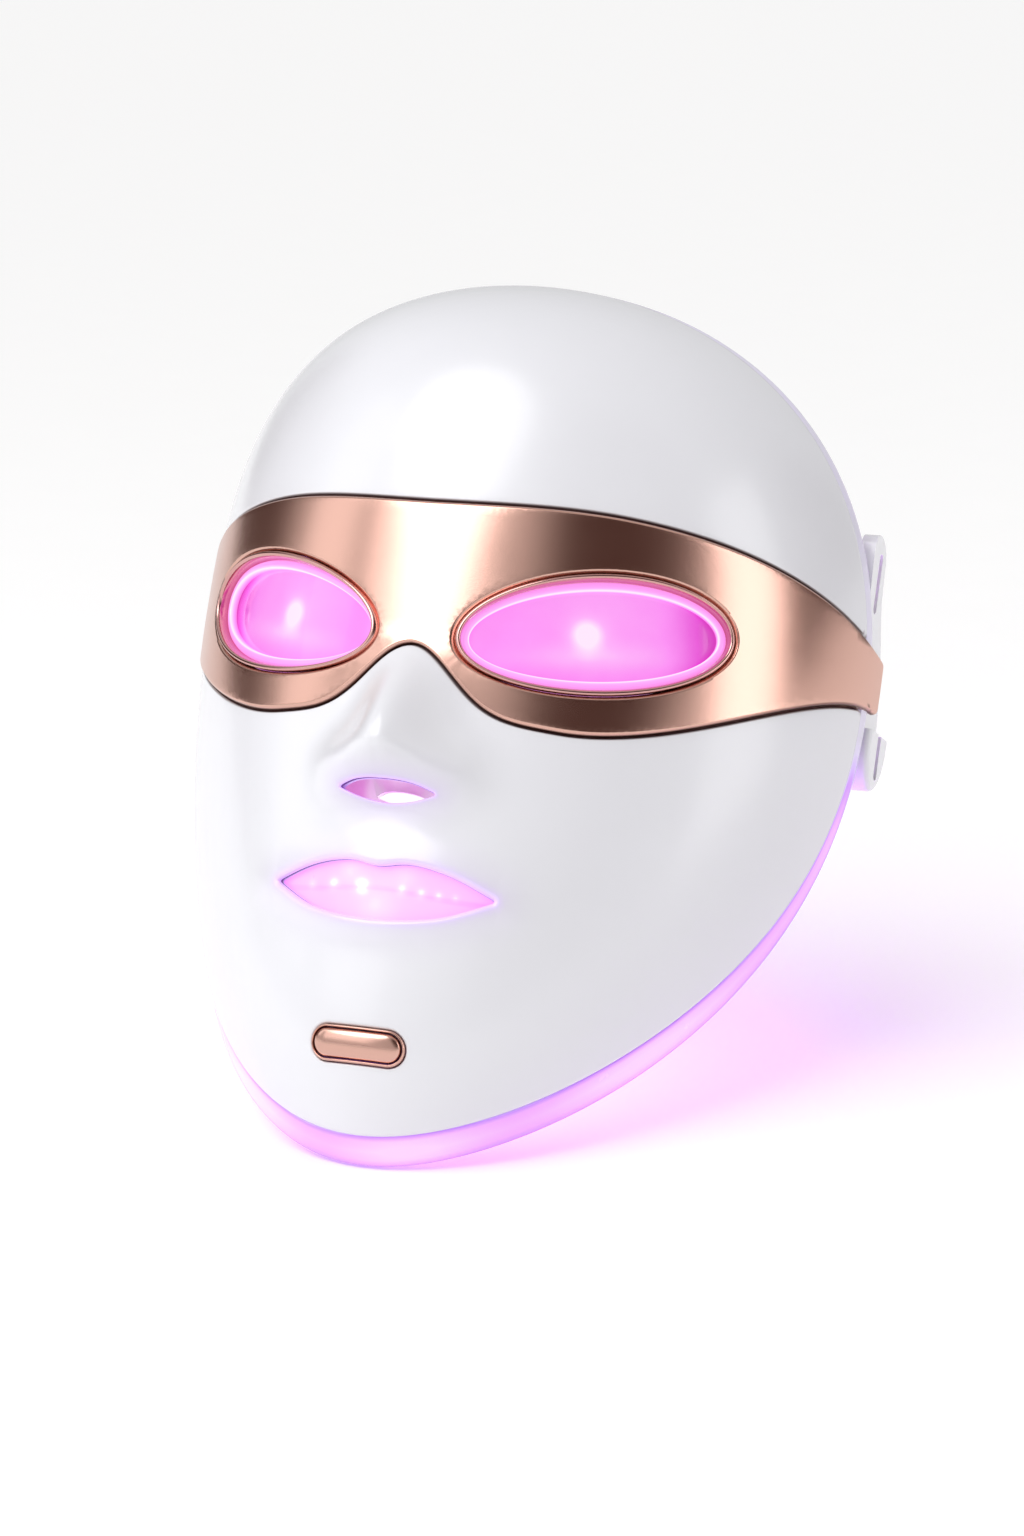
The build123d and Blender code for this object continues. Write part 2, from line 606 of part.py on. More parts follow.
# ---------------------------------------------------------------- names and files
PIECES = {
    "outer_shell": outer_shell, "visor_band": visor_band, "glow_rim": glow_rim, "liner": liner,
    "liner_screws": liner_screws, "eye_bezel_left": eye_bezel_left, "eye_bezel_right": eye_bezel_right,
    "eye_guide_left": eye_guide_left, "eye_guide_right": eye_guide_right, "eye_lens_left": eye_lens_left,
    "eye_lens_right": eye_lens_right, "mouth_window": mouth_window, "board_forehead": board_forehead,
    "board_cheek_left": board_cheek_left, "board_cheek_right": board_cheek_right, "board_chin": board_chin,
    "leds_forehead": leds_forehead, "leds_cheek_left": leds_cheek_left, "leds_cheek_right": leds_cheek_right,
    "leds_chin": leds_chin, "ribbon_left": ribbon_left, "ribbon_right": ribbon_right, "battery": battery,
    "main_board": main_board, "tactile_switch": tactile_switch, "button_ring": button_ring,
    "power_button": power_button, "usb_socket": usb_socket, "usb_board": usb_board,
    "strap_arm_left": strap_arm_left, "strap_arm_right": strap_arm_right,
    "arm_bracket_left": arm_bracket_left, "arm_bracket_right": arm_bracket_right,
    "arm_pin_left": arm_pin_left, "arm_pin_right": arm_pin_right,
}

os.makedirs("parts", exist_ok=True)
STANDING = Pos(0, STAND_Y, STAND_Z) * Rot(-LEAN, 0, 0)
for name, piece in PIECES.items():
    placed = STANDING * piece.part
    placed.label = name
    export_step(placed, f"parts/{name}.step")
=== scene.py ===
import json
import math

import bpy
import numpy as np
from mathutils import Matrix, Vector
from mathutils.kdtree import KDTree
from mathutils.geometry import delaunay_2d_cdt


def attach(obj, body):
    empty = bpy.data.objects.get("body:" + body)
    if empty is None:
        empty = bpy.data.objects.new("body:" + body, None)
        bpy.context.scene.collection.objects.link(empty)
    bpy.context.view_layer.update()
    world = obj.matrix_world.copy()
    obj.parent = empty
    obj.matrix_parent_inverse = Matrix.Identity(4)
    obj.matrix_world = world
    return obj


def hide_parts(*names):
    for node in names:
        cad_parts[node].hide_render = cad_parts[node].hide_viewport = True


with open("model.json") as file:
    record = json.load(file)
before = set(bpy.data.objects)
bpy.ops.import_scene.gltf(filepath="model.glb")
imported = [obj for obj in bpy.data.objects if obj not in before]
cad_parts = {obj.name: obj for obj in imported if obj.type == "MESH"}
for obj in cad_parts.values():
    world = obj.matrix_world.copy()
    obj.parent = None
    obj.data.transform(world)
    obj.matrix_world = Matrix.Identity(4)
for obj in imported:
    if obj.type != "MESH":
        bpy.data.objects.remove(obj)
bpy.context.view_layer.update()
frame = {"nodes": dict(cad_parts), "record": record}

MM = 0.001

# ---------------------------------------------------------------- the form, in mm, as worn
HALF_WIDTH, DEPTH, TEMPLE_Z, CROWN_RISE, CHIN_DROP = 81.0, 93.0, 139.0, 84.0, 144.0
CHIN_Z, CHIN_HEIGHT, CHIN_SPREAD = 35.0, 2.4, 28.0
EAR_Z, REAR_Y, REAR_BOW = 127.0, -14.0, 0.00496
RIM_EAR, RIM_EXTRA, RIM_REACH, JOINT_GAP = 4.0, 8.0, 110.0, 0.1
ROOT_Z, TIP_Z, BASE_Z, WING_Z = 128.0, 101.0, 87.5, 96.5
MOUTH_HALF, MOUTH_Z, MOUTH_PEAK_X, MOUTH_PEAK, MOUTH_DIP, MOUTH_DOWN = 25.5, 71.3, 7.0, 5.2, 4.2, 6.9
NOSTRIL_HALF, NOSTRIL_Z, NOSTRIL_UP, NOSTRIL_DOWN, LINER_SLOT = 11.5, 91.6, 1.9, 2.35, 0.55
TOP_BEND, LOW_BEND = 6.5, 6.0
EYE_A, EYE_B, EYE_TURN, EYE_TILT = 30.8, 13.2, 31.3, 10.7
EYE_MIDDLE = np.array([34.8, -77.0, 131.2])
BAND_END, BAND_TOP, BAND_LOW = 83.4, 155.5, 108.7
BUTTON_Z, BUTTON_LENGTH, BUTTON_WIDTH = 37.8, 19.6, 6.0
LEAN, STAND_Y, STAND_Z = 24.4, 2.95, -44.55
ROUND = 86.0  # mm of arc per radian, to lay the form out flat


def smooth(t):
    t = np.clip(t, 0.0, 1.0)
    return t * t * (3 - 2 * t)


def section(z, inset):
    """Half width and depth of the level section at height z."""
    up = z >= TEMPLE_Z
    share = np.where(up, (z - TEMPLE_Z) / (CROWN_RISE - inset), (TEMPLE_Z - z) / (CHIN_DROP - inset))
    share = np.clip(share, 0.0, 0.9999)
    half = np.where(up, (1 - share**2.6) ** (1 / 2.7), np.sqrt(1 - share**2)) * (HALF_WIDTH - inset)
    depth = np.where(up, (1 - share**3.7) ** (1 / 2.6), (1 - share**5.0) ** (1 / 3.7)) * (DEPTH - inset)
    chin = CHIN_HEIGHT * np.exp(-(((z - CHIN_Z) / CHIN_SPREAD) ** 2))
    return half, depth + np.where(up, 0.0, chin)


def nose(x, z, inset):
    above, below = smooth((ROOT_Z - z) / (ROOT_Z - TIP_Z)), smooth((z - BASE_Z) / (TIP_Z - BASE_Z))
    rise = np.where(z >= TIP_Z, above, below)
    down = np.clip((ROOT_Z - z) / (ROOT_Z - WING_Z), 0, 1)
    half = 8.0 + 6.0 * down - 0.55 * inset
    ridge = 14.0 * rise * np.exp(-((1.45 * x / half) ** 2))
    reach = np.hypot(np.abs(x) - 11.0 + 0.4 * inset, z - WING_Z) / (7.0 - 0.3 * inset)
    return ridge + 4.0 * np.exp(-reach * reach)


def lips(x, z):
    along = np.minimum(1.0, np.abs(x) / MOUTH_HALF)
    edge = np.where(z > MOUTH_Z, MOUTH_PEAK, MOUTH_DOWN) * (1 - along**2)
    out = np.maximum(0.0, np.abs(x) - MOUTH_HALF)
    away = np.hypot(np.maximum(0.0, np.abs(z - MOUTH_Z) - edge), out) / 5.0
    return 1.8 * (1 - 0.5 * along**2) * np.exp(-away * away)


def form(u, z, inset, features=True):
    """Points of the form; u is the arc round the face in mm, z the height."""
    half, depth = section(z, inset)
    x = half * np.sin(u / ROUND)
    y = -depth * np.cos(u / ROUND)
    if features:
        y = y - nose(x, z, np.maximum(inset, 0.0)) - lips(x, z)
    return np.stack([x, y, z + 0 * x], axis=-1)


def rear_edge(z, extra=0.0):
    return REAR_Y - extra - REAR_BOW * (z - EAR_Z) ** 2


def rim_width(z):
    return RIM_EAR + RIM_EXTRA * smooth((EAR_Z - 7 - z) / RIM_REACH)


TURN = math.radians(LEAN)


def stand(points):
    """From the worn frame in mm to the row frame in metres."""
    p = np.asarray(points, dtype=float)
    c, s = math.cos(TURN), math.sin(TURN)
    y = c * p[..., 1] + s * p[..., 2] + STAND_Y
    z = -s * p[..., 1] + c * p[..., 2] + STAND_Z
    return np.stack([p[..., 0], y, z], axis=-1) * MM


def stand_dir(vectors):
    c, s = math.cos(TURN), math.sin(TURN)
    v = np.asarray(vectors, dtype=float)
    return np.stack([v[..., 0], c * v[..., 1] + s * v[..., 2], -s * v[..., 1] + c * v[..., 2]], axis=-1)


# ---------------------------------------------------------------- mesh helpers
def make_piece(name, verts, faces, material, body="mask"):
    """A smooth-shaded piece that moves with a body."""
    mesh = bpy.data.meshes.new(name)
    mesh.from_pydata([tuple(v) for v in verts], [], [tuple(f) for f in faces])
    mesh.validate()
    mesh.update()
    obj = bpy.data.objects.new(name, mesh)
    bpy.context.scene.collection.objects.link(obj)
    mesh.materials.append(material)
    mesh.shade_smooth()
    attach(obj, body)
    return obj


def unit(v):
    return v / np.maximum(np.linalg.norm(v, axis=-1, keepdims=True), 1e-12)


def frame_at(u, z, features=False):
    """The outer form's two tangents and its outward normal."""
    e = 0.05
    pu = (form(u + e, z, 0.0, features) - form(u - e, z, 0.0, features)) / (2 * e)
    pz = (form(u, z + e, 0.0, features) - form(u, z - e, 0.0, features)) / (2 * e)
    return pu, pz, unit(np.cross(pu, pz))


def shift_loop(loop, distance):
    """A closed loop of (u, z) moved by a true distance to its left, along the surface."""
    u, z = loop[:, 0], loop[:, 1]
    pu, pz, normal = frame_at(u, z)
    ahead = np.roll(loop, -1, axis=0) - np.roll(loop, 1, axis=0)
    along = unit(pu * ahead[:, :1] + pz * ahead[:, 1:])
    side = np.cross(normal, along)
    a, b, c = (pu * pu).sum(1), (pu * pz).sum(1), (pz * pz).sum(1)
    d, e = (pu * side).sum(1), (pz * side).sum(1)
    det = a * c - b * b
    du, dz = (c * d - b * e) / det, (a * e - b * d) / det
    return loop + distance * np.stack([du, dz], axis=1)


def even(points, count):
    """The same closed line with evenly spaced points."""
    p = np.asarray(points, dtype=float)
    p = np.vstack([p, p[:1]])
    length = np.concatenate([[0], np.cumsum(np.linalg.norm(np.diff(p, axis=0), axis=1))])
    at = np.linspace(0, length[-1], count + 1)[:-1]
    return np.stack([np.interp(at, length, p[:, i]) for i in range(p.shape[1])], axis=1)


def eased(loop, passes):
    """The closed loop with its corners rounded."""
    for _ in range(passes):
        loop = (np.roll(loop, 1, axis=0) + 2 * loop + np.roll(loop, -1, axis=0)) / 4
    return loop


def inside(points, loop):
    """Which 2-D points lie in a closed loop."""
    x, y = points[:, 0][:, None], points[:, 1][:, None]
    x0, y0 = loop[:, 0][None], loop[:, 1][None]
    x1, y1 = np.roll(loop[:, 0], -1)[None], np.roll(loop[:, 1], -1)[None]
    result = np.zeros(len(points), dtype=bool)
    for start in range(0, len(points), 4000):
        s = slice(start, start + 4000)
        cross = ((y0 > y[s]) != (y1 > y[s])) & (x[s] < (x1 - x0) * (y[s] - y0) / (y1 - y0 + 1e-12) + x0)
        result[s] = (cross.sum(axis=1) % 2) == 1
    return result


def near(points, loops, limit):
    """Which 2-D points lie within limit of any loop's points."""
    cloud = np.vstack(loops)
    result = np.zeros(len(points), dtype=bool)
    for start in range(0, len(points), 2000):
        block = points[start:start + 2000]
        gap = ((block[:, None, :] - cloud[None]) ** 2).sum(axis=2).min(axis=1)
        result[start:start + 2000] = gap < limit * limit
    return result


def triangulate(outer, holes, extra_loops, seeds):
    """Triangles over a region with holes. Returns the 2-D points and the triangles."""
    points, edges = [], []
    for loop in [outer, *holes]:
        base = len(points)
        points += [Vector((float(a), float(b))) for a, b in loop]
        edges += [(base + i, base + (i + 1) % len(loop)) for i in range(len(loop))]
    for path in extra_loops:
        base = len(points)
        points += [Vector((float(a), float(b))) for a, b in path]
        gaps = np.linalg.norm(np.roll(path, -1, axis=0) - path, axis=1)
        edges += [(base + i, base + (i + 1) % len(path)) for i in range(len(path))
                  if gaps[i] < 3 * np.median(gaps)]
    points += [Vector((float(a), float(b))) for a, b in seeds]
    flat, _, faces, *_ = delaunay_2d_cdt(points, edges, [], 0, 1e-6)
    flat = np.array([(p.x, p.y) for p in flat])
    faces = np.array([f for f in faces if len(f) == 3])
    middle = flat[faces].mean(axis=1)
    keep = inside(middle, outer)
    for hole in holes:
        keep &= ~inside(middle, hole)
    faces = faces[keep]
    a, b, c = (flat[faces[:, i]] for i in range(3))
    flip = (b[:, 0] - a[:, 0]) * (c[:, 1] - a[:, 1]) - (b[:, 1] - a[:, 1]) * (c[:, 0] - a[:, 0]) < 0
    faces[flip] = faces[flip][:, ::-1]
    return flat, faces


def loop_tree(loops):
    points = np.vstack([form(l[:, 0], l[:, 1], 0.0, True) for l in loops])
    tree = KDTree(len(points))
    for i, p in enumerate(points):
        tree.insert(Vector(p), i)
    tree.balance()
    return tree


def grid_seeds(spacing, around):
    """A triangular grid of points over a loop's box."""
    low, high = around.min(axis=0), around.max(axis=0)
    rows = np.arange(math.floor(low[1] / spacing), math.ceil(high[1] / spacing) + 1)
    columns = np.arange(math.floor(low[0] / spacing), math.ceil(high[0] / spacing) + 1)
    r, c = np.meshgrid(rows, columns, indexing="ij")
    return np.stack([(c + 0.5 * (r % 2)).ravel() * spacing, r.ravel() * spacing], axis=1)


def inset_sheet(outer, holes, rings, depth_of, back, fine=None, extra_loops=(), spacing=1.5):
    """A panel of the form, with its back at inset back.

    Its front follows depth_of(distance to the edge, u, z)."""
    edge_loops = [outer, *holes]
    limit = shift_loop(outer, rings[-1] + 0.5)
    extra_loops = [path[inside(path, limit)] for path in extra_loops]
    ring_loops = []
    for loop, sign in [(outer, 1.0)] + [(h, -1.0) for h in holes]:
        ring_loops += [shift_loop(loop, sign * r) for r in rings]
    seeds = grid_seeds(spacing, outer)
    if fine is not None:
        box, step = fine
        keep = ~((np.abs(seeds[:, 0]) < box[0]) & (seeds[:, 1] > box[1]) & (seeds[:, 1] < box[2]))
        dense = grid_seeds(step, outer)
        dense = dense[(np.abs(dense[:, 0]) < box[0]) & (dense[:, 1] > box[1]) & (dense[:, 1] < box[2])]
        seeds = np.vstack([seeds[keep], dense])
    seeds = seeds[inside(seeds, outer)]
    for hole in holes:
        seeds = seeds[~inside(seeds, hole)]
    seeds = seeds[~near(seeds, [*edge_loops, *ring_loops, *extra_loops], 0.55)]
    # rings already fill the strip beside each edge
    for loop, sign in [(outer, 1.0)] + [(h, -1.0) for h in holes]:
        last = shift_loop(loop, sign * (rings[-1] + 0.15))
        seeds = seeds[inside(seeds, last)] if sign > 0 else seeds[~inside(seeds, last)]
    flat, faces = triangulate(outer, holes, [*ring_loops, *extra_loops], seeds)
    tree = loop_tree([even(l, len(l) * 6) for l in edge_loops])
    base = form(flat[:, 0], flat[:, 1], 0.0, True)
    distance = np.array([tree.find(Vector(p))[2] for p in base])
    on_edge = near(flat, edge_loops, 1e-4)
    distance[on_edge] = 0.0

    def place(u, z, d):
        return form(u, z, depth_of(d, u, z), True)

    front = place(flat[:, 0], flat[:, 1], distance)
    normal = frame_at(flat[:, 0], flat[:, 1], True)[2]
    verts, tris = list(front), [tuple(t) for t in faces]
    # back and walls
    edge_index = {}
    for i in np.nonzero(on_edge)[0]:
        edge_index[(round(float(flat[i, 0]), 4), round(float(flat[i, 1]), 4))] = int(i)
    coarse = grid_seeds(4.0, outer)
    coarse = coarse[inside(coarse, shift_loop(outer, 1.5))]
    for hole in holes:
        coarse = coarse[~inside(coarse, shift_loop(hole, -1.5))]
    flat_back, faces_back = triangulate(outer, holes, [], coarse)
    start = len(verts)
    verts += list(form(flat_back[:, 0], flat_back[:, 1], back, True))
    tris += [tuple(start + i for i in t[::-1]) for t in faces_back]
    back_index = {(round(float(p[0]), 4), round(float(p[1]), 4)): start + i for i, p in enumerate(flat_back)}
    for loop, sign in [(outer, 1)] + [(h, -1) for h in holes]:
        ids = [(round(float(a), 4), round(float(b), 4)) for a, b in loop.astype(np.float32)]
        for i in range(len(ids)):
            a, b = ids[i], ids[(i + 1) % len(ids)]
            fa, fb, ba, bb = edge_index.get(a), edge_index.get(b), back_index.get(a), back_index.get(b)
            if None in (fa, fb, ba, bb):
                continue
            tris.append((fa, ba, bb, fb))
    return verts, tris, normal, start


def split_set(obj, normals, count):
    """Exact normals on the first count vertices, smooth ones on the rest."""
    mesh = obj.data
    given = [Vector(n) for n in normals]
    auto = [v.normal.copy() for v in mesh.vertices]
    for i in range(count):
        auto[i] = given[i]
    mesh.normals_split_custom_set_from_vertices([tuple(n) for n in auto])


def surface_normals(verts, tris, count):
    """Area-weighted normals of the first count vertices, from the triangles that use only them."""
    v = np.array(verts)
    t = np.array([f for f in tris if len(f) == 3 and max(f) < count])
    n = np.cross(v[t[:, 1]] - v[t[:, 0]], v[t[:, 2]] - v[t[:, 0]])
    out = np.zeros((count, 3))
    for k in range(3):
        np.add.at(out, t[:, k], n)
    return unit(out)


def panel_piece(name, nodes, outer, holes, rings, depth_of, back, material, **more):
    """Makes an inset_sheet piece in the place of nodes."""
    verts, tris, normal, count = inset_sheet(outer, holes, rings, depth_of, back, **more)
    obj = make_piece(name, stand(verts), tris, material)
    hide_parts(*nodes)
    return obj, verts, tris, normal, count


def sweep(name, loops, material, nodes, body="mask", closed=True):
    """A skin over loops of equally many points: a ring if closed, else a solid with both ends filled."""
    n = len(loops[0])
    verts = [tuple(p) for loop in loops for p in stand(loop)]
    faces = []
    rows = len(loops)
    for r in range(rows if closed else rows - 1):
        a, b = r * n, ((r + 1) % rows) * n
        for i in range(n):
            j = (i + 1) % n
            faces.append((a + i, a + j, b + j, b + i))
    if not closed:
        faces.append(tuple(range(n - 1, -1, -1)))
        faces.append(tuple(range((rows - 1) * n, rows * n)))
    obj = make_piece(name, verts, faces, material, body)
    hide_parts(*nodes)
    return obj


# ---------------------------------------------------------------- outlines on the flat
def rim_points(extra, inset, count=420):
    """The closed line, as worn, where the form at an inset meets the rear edge moved extra(z) mm forward."""
    around = np.linspace(0, 2 * math.pi, count, endpoint=False)
    middle = 125.0
    low, high = np.full(count, 5.0), np.full(count, 125.0)
    for _ in range(46):
        r = (low + high) / 2
        x, z = r * np.sin(around), middle + r * np.cos(around)
        half, depth = section(z, inset)
        ratio = np.clip(np.abs(x) / half, 0, 1)
        y = -depth * np.sqrt(1 - ratio**2)
        above = z > TEMPLE_Z + 0.9995 * (CROWN_RISE - inset)
        out = (y > rear_edge(z) - extra(z)) | (np.abs(x) >= half) | above
        high = np.where(out, r, high)
        low = np.where(out, low, r)
    r = (low + high) / 2
    x, z = r * np.sin(around), middle + r * np.cos(around)
    half, depth = section(z, inset)
    return np.stack([x, -depth * np.sqrt(1 - np.clip(np.abs(x) / half, 0, 1) ** 2), z], axis=1)


def to_flat(points):
    """Front points of the outer form as (u, z)."""
    half, _ = section(points[:, 2], 0.0)
    return np.stack([ROUND * np.arcsin(np.clip(points[:, 0] / half, -1, 1)), points[:, 2]], axis=1)


def counter(loop):
    """The loop running anticlockwise on the flat."""
    area = (loop[:, 0] * np.roll(loop[:, 1], -1) - np.roll(loop[:, 0], -1) * loop[:, 1]).sum()
    return loop if area > 0 else loop[::-1].copy()


TURN_EYE, TILT_EYE = math.radians(EYE_TURN), math.radians(EYE_TILT)
EYE_X = np.array([math.cos(TURN_EYE) * math.cos(TILT_EYE), math.sin(TURN_EYE) * math.cos(TILT_EYE),
                  math.sin(TILT_EYE)])
EYE_OUT = np.array([math.sin(TURN_EYE), -math.cos(TURN_EYE), 0.0])
EYE_Y = np.cross(EYE_OUT, EYE_X)


def eye_loop(less, inset, side=1, count=200, scale=1.0):
    """The eye opening's line, made smaller by less, where it meets the form at an inset. Worn frame."""
    t = np.linspace(0, 2 * math.pi, count, endpoint=False)
    a, b = (EYE_A - less) * scale, (EYE_B - less) * scale
    base = EYE_MIDDLE + np.outer(a * np.cos(t), EYE_X) + np.outer(b * np.sin(t), EYE_Y)
    low, high = np.full(count, -20.0), np.full(count, 20.0)
    for _ in range(40):
        m = (low + high) / 2
        p = base + m[:, None] * EYE_OUT
        half, depth = section(p[:, 2], inset)
        y = -depth * np.sqrt(1 - np.clip(np.abs(p[:, 0]) / half, 0, 1) ** 2)
        outside = p[:, 1] < y
        high = np.where(outside, m, high)
        low = np.where(outside, low, m)
    p = base + ((low + high) / 2)[:, None] * EYE_OUT
    if side < 0:
        p = p * np.array([-1.0, 1, 1])
        p = p[::-1]
    return p


def xz_flat(line):
    """A front-view outline of (x, z) points as (u, z)."""
    line = np.asarray(line, dtype=float)
    half, _ = section(line[:, 1], 0.0)
    return np.stack([ROUND * np.arcsin(line[:, 0] / half), line[:, 1]], axis=1)


def natural(points, per=14):
    """A smooth open line through points (Catmull-Rom with doubled ends)."""
    p = np.asarray(points, dtype=float)
    p = np.vstack([2 * p[0] - p[1], p, 2 * p[-1] - p[-2]])
    out = []
    for i in range(1, len(p) - 2):
        t = np.linspace(0, 1, per, endpoint=False)[:, None]
        a, b, c, d = p[i - 1], p[i], p[i + 1], p[i + 2]
        line = 2 * b + (c - a) * t
        line = line + (2 * a - 5 * b + 4 * c - d) * t**2
        out.append(0.5 * (line + (3 * b - a - 3 * c + d) * t**3))
    return np.vstack([*out, p[-2][None]])


def mouth_line(less=0.0):
    """The mouth opening's outline as (x, z), made smaller by less."""
    half = MOUTH_HALF - 1.6 * less
    peak = [(half * 0.62, MOUTH_Z + MOUTH_PEAK * 0.72 - less), (MOUTH_PEAK_X, MOUTH_Z + MOUTH_PEAK - less)]
    mirrored = [(-x, z) for x, z in peak[::-1]]
    upper = [(half, MOUTH_Z), *peak, (0, MOUTH_Z + MOUTH_DIP - less), *mirrored, (-half, MOUTH_Z)]
    low = (MOUTH_HALF * 0.55, MOUTH_Z - MOUTH_DOWN * 0.76 + less)
    lower = [(-half, MOUTH_Z), (-low[0], low[1]), (0, MOUTH_Z - MOUTH_DOWN + less), low, (half, MOUTH_Z)]
    return np.vstack([natural(upper)[:-1], natural(lower)[:-1]])


def nostril_line():
    """The outline of the breathing slot under the nose, as (x, z)."""
    u, d = NOSTRIL_UP, NOSTRIL_DOWN
    high, low = u * 0.8, -d * 0.72
    upper = [(-NOSTRIL_HALF, 0), (-TOP_BEND, high), (0, u), (TOP_BEND, high), (NOSTRIL_HALF, 0)]
    lower = [(NOSTRIL_HALF, 0), (LOW_BEND, low), (0, -d), (-LOW_BEND, low), (-NOSTRIL_HALF, 0)]
    return np.vstack([natural(upper)[:-1], natural(lower)[:-1]]) + np.array([0, NOSTRIL_Z])


def button_line(grow, count=120):
    """The button's outline as (x, z), made larger by grow."""
    r = BUTTON_WIDTH / 2 + grow
    reach = BUTTON_LENGTH / 2 + grow - r
    t = np.linspace(-math.pi / 2, math.pi / 2, 30)
    right = np.stack([reach + r * np.cos(t), r * np.sin(t)], axis=1)
    left = np.stack([-reach - r * np.cos(t), -r * np.sin(t)], axis=1)
    return even(np.vstack([right, left]), count) + np.array([0, BUTTON_Z])


def band_top(a):
    drop = np.maximum(0.0, (a - 30) / (BAND_END - 30)) ** 2.2
    return BAND_TOP + 1.7 * smooth(a / 30) - 12.2 * drop


def band_low(a):
    return BAND_LOW + 15.1 * np.exp(-((a / 9.4) ** 2)) + 24.0 * smooth((a - 24) / 58)


def band_line(grow=0.0, corner=1.6, count=620):
    """The visor band's outline as (u, z), with small round corners."""
    angles = np.linspace(-BAND_END, BAND_END, 400)
    top = np.stack([np.radians(angles) * ROUND, band_top(np.abs(angles))], axis=1)[::-1]
    low = np.stack([np.radians(angles) * ROUND, band_low(np.abs(angles))], axis=1)
    loop = eased(even(np.vstack([low, top]), 2600), int(corner * 12))
    loop = counter(even(loop, count))
    return shift_loop(loop, -grow) if grow else loop


# ---------------------------------------------------------------- materials
def material(name, color, rough=0.4, metal=0.0, vary=0.03, grain=None, tints=None, lit=None, **sockets):
    """A node material whose colour and roughness vary a little.

    tints maps a vertex value to the colour it adds, and lit names the one that scales the emission."""
    mat = bpy.data.materials.new(name)
    mat.use_nodes = True
    nodes, links = mat.node_tree.nodes, mat.node_tree.links
    shader = nodes["Principled BSDF"]
    coords = nodes.new("ShaderNodeTexCoord")
    cloud = nodes.new("ShaderNodeTexNoise")
    cloud.inputs["Scale"].default_value = 30.0
    cloud.inputs["Detail"].default_value = 3.0
    links.new(coords.outputs["Object"], cloud.inputs["Vector"])
    ramp = nodes.new("ShaderNodeValToRGB")
    ramp.color_ramp.elements[0].position, ramp.color_ramp.elements[1].position = 0.3, 0.7
    ramp.color_ramp.elements[0].color = (*[c * (1 - vary) for c in color], 1)
    ramp.color_ramp.elements[1].color = (*[min(1.0, c * (1 + vary)) for c in color], 1)
    links.new(cloud.outputs["Fac"], ramp.inputs["Fac"])
    links.new(ramp.outputs["Color"], shader.inputs["Base Color"])
    span = nodes.new("ShaderNodeMapRange")
    span.inputs["To Min"].default_value, span.inputs["To Max"].default_value = rough - 0.04, rough + 0.04
    links.new(cloud.outputs["Fac"], span.inputs["Value"])
    links.new(span.outputs["Result"], shader.inputs["Roughness"])
    shader.inputs["Metallic"].default_value = metal
    if grain:
        scale, strength, stretch = grain
        mapping = nodes.new("ShaderNodeMapping")
        mapping.inputs["Scale"].default_value = stretch
        fine = nodes.new("ShaderNodeTexNoise")
        fine.inputs["Scale"].default_value = scale
        fine.inputs["Detail"].default_value = 4.0
        bump = nodes.new("ShaderNodeBump")
        bump.inputs["Strength"].default_value = strength
        bump.inputs["Distance"].default_value = 0.0002
        links.new(coords.outputs["Object"], mapping.inputs["Vector"])
        links.new(mapping.outputs["Vector"], fine.inputs["Vector"])
        links.new(fine.outputs["Fac"], bump.inputs["Height"])
        links.new(bump.outputs["Normal"], shader.inputs["Normal"])
    if tints:
        colour = ramp.outputs["Color"]
        for attribute, tint in tints.items():
            value = nodes.new("ShaderNodeAttribute")
            value.attribute_name = attribute
            blend = nodes.new("ShaderNodeMix")
            blend.data_type = "RGBA"
            blend.inputs["B"].default_value = (*tint, 1)
            links.new(value.outputs["Fac"], blend.inputs["Factor"])
            links.new(colour, blend.inputs["A"])
            colour = blend.outputs["Result"]
        links.new(colour, shader.inputs["Base Color"])
    if lit:
        value = nodes.new("ShaderNodeAttribute")
        value.attribute_name = lit
        links.new(value.outputs["Fac"], shader.inputs["Emission Strength"])
    for socket, value in sockets.items():
        shader.inputs[socket.replace("_", " ")].default_value = value
    return mat


